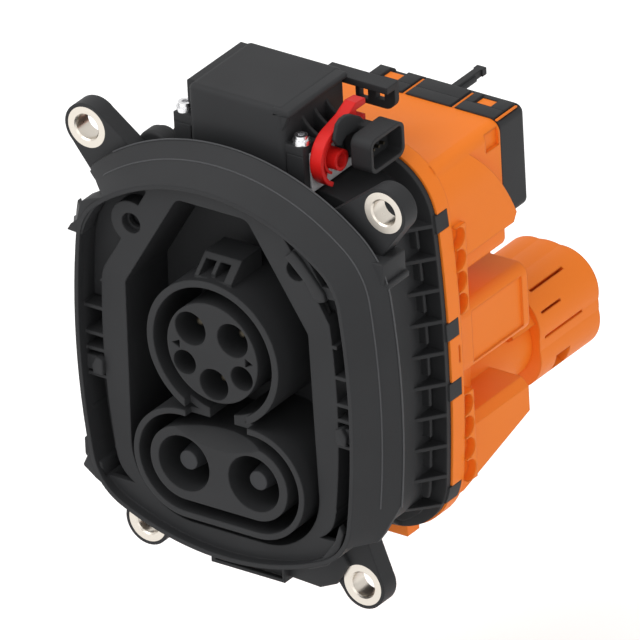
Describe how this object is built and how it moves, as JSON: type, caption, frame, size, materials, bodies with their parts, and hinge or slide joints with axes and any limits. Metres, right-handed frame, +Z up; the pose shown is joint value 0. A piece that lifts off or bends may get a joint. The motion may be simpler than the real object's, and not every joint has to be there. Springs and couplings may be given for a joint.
{
  "type": "charge port inlet",
  "caption": "Vehicle charging inlet with a round AC socket above a two-pin DC socket, a lock actuator with a red release lever, and an orange rear cable housing.",
  "frame": {"origin": "where the axis of the round AC socket meets the front mating plane", "axes": "-Y points out of the socket towards the plug, +Y points back into the vehicle along the cable outlets, +Z is up from the DC socket to the AC socket, +X is the side of the red release lever"},
  "size_m": [0.1286, 0.1525, 0.1681],
  "materials": {
    "black_plastic": "fine satin grain, moulded",
    "orange_plastic": "satin, moulded",
    "red_plastic": "satin to glossy, moulded",
    "grey_plastic": "smooth pale sheet",
    "tip_plastic": "satin",
    "gear_plastic": "natural, satin",
    "bushing_metal": "warm satin plating, turned",
    "steel": "bright zinc",
    "contact_metal": "satin silver plating",
    "board_green": "lacquered board",
    "seal_rubber": "smooth rubber"
  },
  "bodies": {
    "housing": {"ac_contact_carrier": "black_plastic", "ac_ground_contact": "contact_metal", "ac_power_contacts": "contact_metal", "ac_signal_contacts": "contact_metal", "bolt_seal": "seal_rubber", "breather_cap": "black_plastic", "cable_cap_left": "orange_plastic", "cable_cap_right": "orange_plastic", "cable_clamps": "steel", "cable_guide": "black_plastic", "cable_seals": "seal_rubber", "contact_retainer": "black_plastic", "dc_contact_carrier": "black_plastic", "dc_contact_left": "contact_metal", "dc_contact_right": "contact_metal", "dc_contact_tips": "tip_plastic", "front_frame": "black_plastic", "lever_plate": "grey_plastic", "lock_base": "black_plastic", "lock_cover": "black_plastic", "lock_motor": "steel", "lock_screws": "steel", "mounting_bushings": "bushing_metal", "perimeter_seal": "seal_rubber", "rear_cap": "black_plastic", "rear_housing": "orange_plastic", "sensor_board": "board_green", "signal_connector": "black_plastic", "signal_pins": "contact_metal", "socket_housing": "black_plastic"},
    "release_lever": {"release_lever": "red_plastic", "drive_shaft": "steel", "shaft_clip": "steel", "drive_gear": "gear_plastic"},
    "lock_bolt": {"lock_bolt": "black_plastic"},
    "motor_pinion": {"motor_pinion": "gear_plastic", "motor_shaft": "steel"}
  },
  "joints": [
    {"name": "lever_turn", "type": "hinge", "parent": "housing", "child": "release_lever", "pos_m": [0.028, 0.0305, 0.0622], "axis": [1, 0, 0], "range_deg": [0, 66]},
    {"name": "bolt_slide", "type": "slide", "parent": "housing", "child": "lock_bolt", "axis": [0, 0, -1], "range_m": [0, 0.00692]},
    {"name": "pinion_spin", "type": "hinge", "parent": "housing", "child": "motor_pinion", "pos_m": [0.0085, 0.04369, 0.07126], "axis": [1, 0, 0], "range_deg": [-145.5, 0]}
  ],
  "couplings": [
    {"joint": "bolt_slide", "follows": "lever_turn", "m_per_rad": 0.006},
    {"joint": "pinion_spin", "follows": "lever_turn", "ratio": -2.2}
  ]
}
